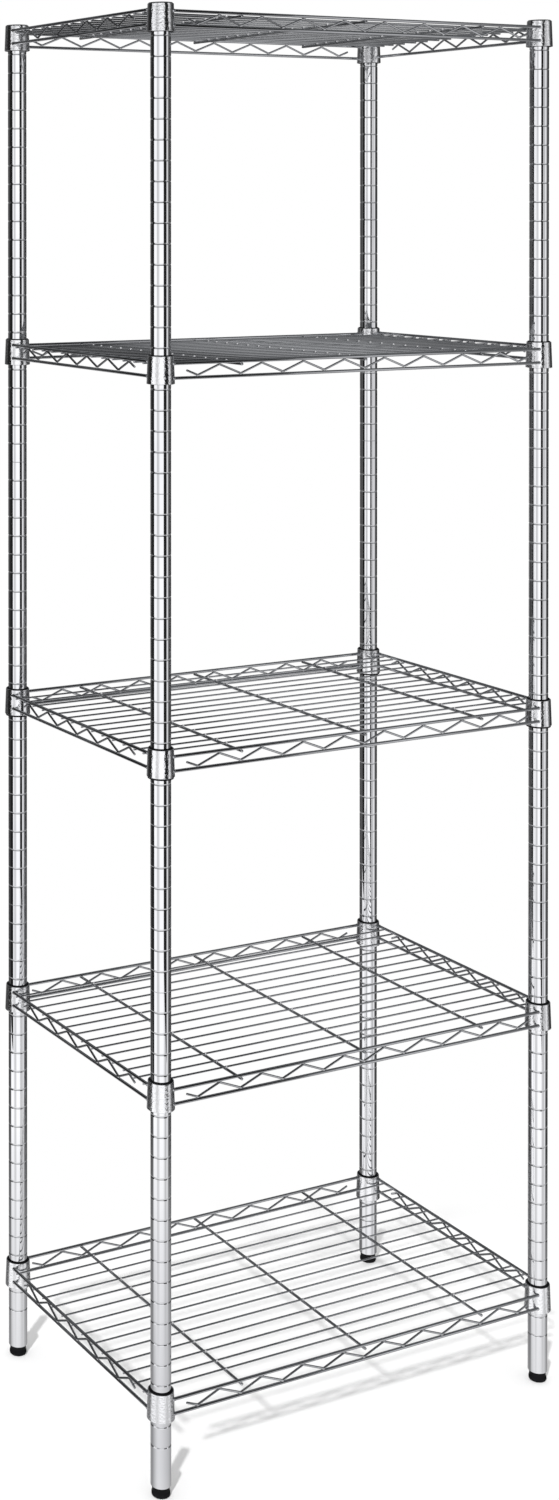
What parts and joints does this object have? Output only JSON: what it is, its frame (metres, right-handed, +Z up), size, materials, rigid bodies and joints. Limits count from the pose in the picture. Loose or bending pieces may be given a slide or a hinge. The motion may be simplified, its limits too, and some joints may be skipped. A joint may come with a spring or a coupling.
{
  "type": "wire shelving rack",
  "caption": "Tall open wire rack: grooved round posts on screw feet carry wire shelves hung on tapered corner collars with split sleeves.",
  "frame": {"origin": "on the floor, under the middle of the rack's footprint", "axes": "+Z up; X along the long side, left to right seen from the front; the front is -Y"},
  "size_m": [0.6346, 0.3946, 1.8316],
  "materials": {
    "post_chrome": "bright chrome plate on steel tube",
    "collar_chrome": "bright chrome plate, faint cast texture",
    "wire_chrome": "bright chrome plate on drawn wire",
    "sleeve_plastic": "black moulded plastic",
    "cap_plastic": "black moulded plastic",
    "foot_plastic": "black moulded plastic, fine grain",
    "zinc_steel": "bright zinc plate"
  },
  "bodies": {
    "frame": {"post_fl_lower": "post_chrome", "post_fr_lower": "post_chrome", "post_rl_lower": "post_chrome", "post_rr_lower": "post_chrome", "post_fl_middle": "post_chrome", "post_fr_middle": "post_chrome", "post_rl_middle": "post_chrome", "post_rr_middle": "post_chrome", "post_fl_upper": "post_chrome", "post_fr_upper": "post_chrome", "post_rl_upper": "post_chrome", "post_rr_upper": "post_chrome", "joint_inserts": "zinc_steel", "joint_studs": "zinc_steel", "foot_inserts": "zinc_steel", "post_caps": "cap_plastic", "shelf_1_sleeve_halves": "sleeve_plastic", "shelf_2_sleeve_halves": "sleeve_plastic", "shelf_3_sleeve_halves": "sleeve_plastic", "shelf_4_sleeve_halves": "sleeve_plastic", "shelf_5_sleeve_halves": "sleeve_plastic"},
    "foot_fl_stud_body": {"foot_fl_stud": "zinc_steel"},
    "foot_fl_body": {"foot_fl": "foot_plastic"},
    "foot_fr_stud_body": {"foot_fr_stud": "zinc_steel"},
    "foot_fr_body": {"foot_fr": "foot_plastic"},
    "foot_rl_stud_body": {"foot_rl_stud": "zinc_steel"},
    "foot_rl_body": {"foot_rl": "foot_plastic"},
    "foot_rr_stud_body": {"foot_rr_stud": "zinc_steel"},
    "foot_rr_body": {"foot_rr": "foot_plastic"},
    "shelf_1": {"shelf_1_collars": "collar_chrome", "shelf_1_upper_rails": "wire_chrome", "shelf_1_lower_rails": "wire_chrome", "shelf_1_trusses": "wire_chrome", "shelf_1_deck_wires": "wire_chrome", "shelf_1_cross_ribs": "wire_chrome"},
    "shelf_2": {"shelf_2_collars": "collar_chrome", "shelf_2_upper_rails": "wire_chrome", "shelf_2_lower_rails": "wire_chrome", "shelf_2_trusses": "wire_chrome", "shelf_2_deck_wires": "wire_chrome", "shelf_2_cross_ribs": "wire_chrome"},
    "shelf_3": {"shelf_3_collars": "collar_chrome", "shelf_3_upper_rails": "wire_chrome", "shelf_3_lower_rails": "wire_chrome", "shelf_3_trusses": "wire_chrome", "shelf_3_deck_wires": "wire_chrome", "shelf_3_cross_ribs": "wire_chrome"},
    "shelf_4": {"shelf_4_collars": "collar_chrome", "shelf_4_upper_rails": "wire_chrome", "shelf_4_lower_rails": "wire_chrome", "shelf_4_trusses": "wire_chrome", "shelf_4_deck_wires": "wire_chrome", "shelf_4_cross_ribs": "wire_chrome"},
    "shelf_5": {"shelf_5_collars": "collar_chrome", "shelf_5_upper_rails": "wire_chrome", "shelf_5_lower_rails": "wire_chrome", "shelf_5_trusses": "wire_chrome", "shelf_5_deck_wires": "wire_chrome", "shelf_5_cross_ribs": "wire_chrome"}
  },
  "joints": [
    {"name": "foot_fl_travel", "type": "slide", "parent": "frame", "child": "foot_fl_stud_body", "axis": [0, 0, -1], "range_m": [0, 0.015]},
    {"name": "foot_fl_turn", "type": "hinge", "parent": "foot_fl_stud_body", "child": "foot_fl_body", "pos_m": [-0.3, -0.18, 0], "axis": [0, 0, -1], "range_deg": [0, 3600.5]},
    {"name": "foot_fr_travel", "type": "slide", "parent": "frame", "child": "foot_fr_stud_body", "axis": [0, 0, -1], "range_m": [0, 0.015]},
    {"name": "foot_fr_turn", "type": "hinge", "parent": "foot_fr_stud_body", "child": "foot_fr_body", "pos_m": [0.3, -0.18, 0], "axis": [0, 0, -1], "range_deg": [0, 3600.5]},
    {"name": "foot_rl_travel", "type": "slide", "parent": "frame", "child": "foot_rl_stud_body", "axis": [0, 0, -1], "range_m": [0, 0.015]},
    {"name": "foot_rl_turn", "type": "hinge", "parent": "foot_rl_stud_body", "child": "foot_rl_body", "pos_m": [-0.3, 0.18, 0], "axis": [0, 0, -1], "range_deg": [0, 3600.5]},
    {"name": "foot_rr_travel", "type": "slide", "parent": "frame", "child": "foot_rr_stud_body", "axis": [0, 0, -1], "range_m": [0, 0.015]},
    {"name": "foot_rr_turn", "type": "hinge", "parent": "foot_rr_stud_body", "child": "foot_rr_body", "pos_m": [0.3, 0.18, 0], "axis": [0, 0, -1], "range_deg": [0, 3600.5]},
    {"name": "shelf_1_lift", "type": "slide", "parent": "frame", "child": "shelf_1", "axis": [0, 0, 1], "range_m": [0, 0.344]},
    {"name": "shelf_2_lift", "type": "slide", "parent": "frame", "child": "shelf_2", "axis": [0, 0, 1], "range_m": [0, 0.37]},
    {"name": "shelf_3_lift", "type": "slide", "parent": "frame", "child": "shelf_3", "axis": [0, 0, 1], "range_m": [0, 0.444]},
    {"name": "shelf_4_lift", "type": "slide", "parent": "frame", "child": "shelf_4", "axis": [0, 0, 1], "range_m": [0, 0.393]},
    {"name": "shelf_5_lift", "type": "slide", "parent": "frame", "child": "shelf_5", "axis": [0, 0, 1], "range_m": [0, 0.1]}
  ],
  "couplings": [
    {"joint": "foot_fl_turn", "follows": "foot_fl_travel", "rad_per_m": 4188.8},
    {"joint": "foot_fr_turn", "follows": "foot_fr_travel", "rad_per_m": 4188.8},
    {"joint": "foot_rl_turn", "follows": "foot_rl_travel", "rad_per_m": 4188.8},
    {"joint": "foot_rr_turn", "follows": "foot_rr_travel", "rad_per_m": 4188.8}
  ]
}
